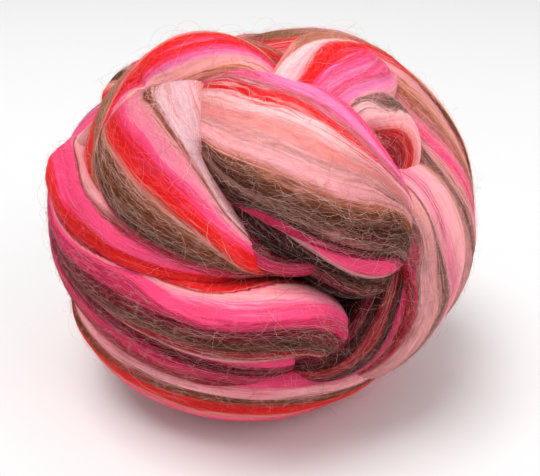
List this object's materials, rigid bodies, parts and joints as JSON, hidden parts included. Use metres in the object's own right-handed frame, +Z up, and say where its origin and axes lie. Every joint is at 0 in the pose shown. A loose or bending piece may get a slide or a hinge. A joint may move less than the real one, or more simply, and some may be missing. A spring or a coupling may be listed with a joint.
{
  "type": "wool roving bundle",
  "caption": "Length of soft combed wool top in stripes of hot pink, red, pale pink and brown, gathered over and under itself into a loose, rounded bundle.",
  "frame": {"origin": "on the ground under the middle of the bundle's bounding box, in the plane of the flat spot it rests on", "axes": "+Z up, out of the ground; +X to the bundle's right as seen from its front; +Y to its back, so its front faces -Y"},
  "size_m": [0.1912, 0.1901, 0.1665],
  "materials": {
    "wool": "soft, matt combed wool in blended lengthwise stripes of hot pink, red, pale pink and brown"
  },
  "bodies": {
    "root": {"roving": "wool"}
  },
  "joints": []
}
